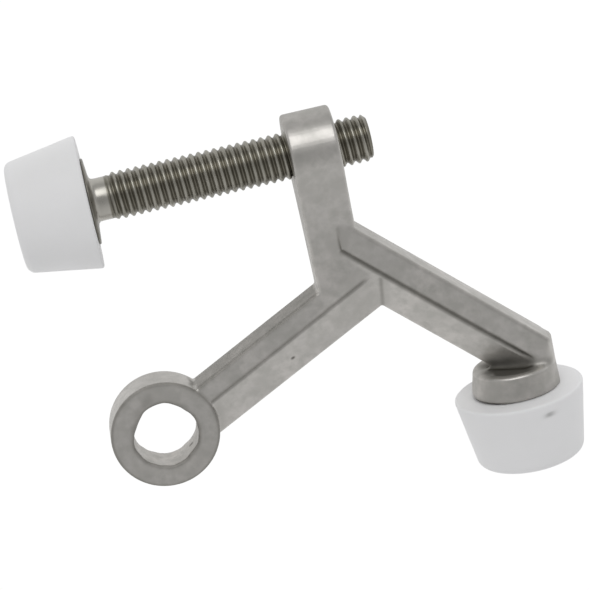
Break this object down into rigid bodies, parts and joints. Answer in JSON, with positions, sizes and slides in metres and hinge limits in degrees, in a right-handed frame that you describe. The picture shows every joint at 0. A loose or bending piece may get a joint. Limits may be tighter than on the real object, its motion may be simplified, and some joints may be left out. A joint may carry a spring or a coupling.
{
  "type": "hinge pin door stop",
  "caption": "Y-shaped cast door stop: an eye for a hinge pin, an arm with a fixed rubber bumper and a threaded boss with an adjustable bumper on a rod.",
  "frame": {"origin": "centre of the hinge-pin eye, on the casting's middle plane", "axes": "+Z along the hinge pin, +X along the threaded rod away from its bumper, +Y from the eye towards the rod"},
  "size_m": [0.0662, 0.0551, 0.0168],
  "materials": {
    "satin_nickel_casting": "satin nickel plate over a tumbled zinc casting",
    "nickel_screw": "nickel-plated rolled thread, bright on the crests and dark in the roots",
    "white_rubber": "matt off-white moulded rubber"
  },
  "bodies": {
    "body": {"body_casting": "satin_nickel_casting", "fixed_bumper": "white_rubber"},
    "travelling_bumper": {"adjustable_bumper": "white_rubber"},
    "screw": {"adjusting_screw": "nickel_screw"}
  },
  "joints": [
    {"name": "screw_travel", "type": "slide", "parent": "body", "child": "travelling_bumper", "axis": [1, 0, 0], "range_m": [-0.004, 0.022]},
    {"name": "screw_turn", "type": "hinge", "parent": "travelling_bumper", "child": "screw", "pos_m": [0, 0.0314, 0], "axis": [1, 0, 0], "range_deg": [-1440, 7920]}
  ],
  "couplings": [
    {"joint": "screw_turn", "follows": "screw_travel", "rad_per_m": 6283.2}
  ]
}
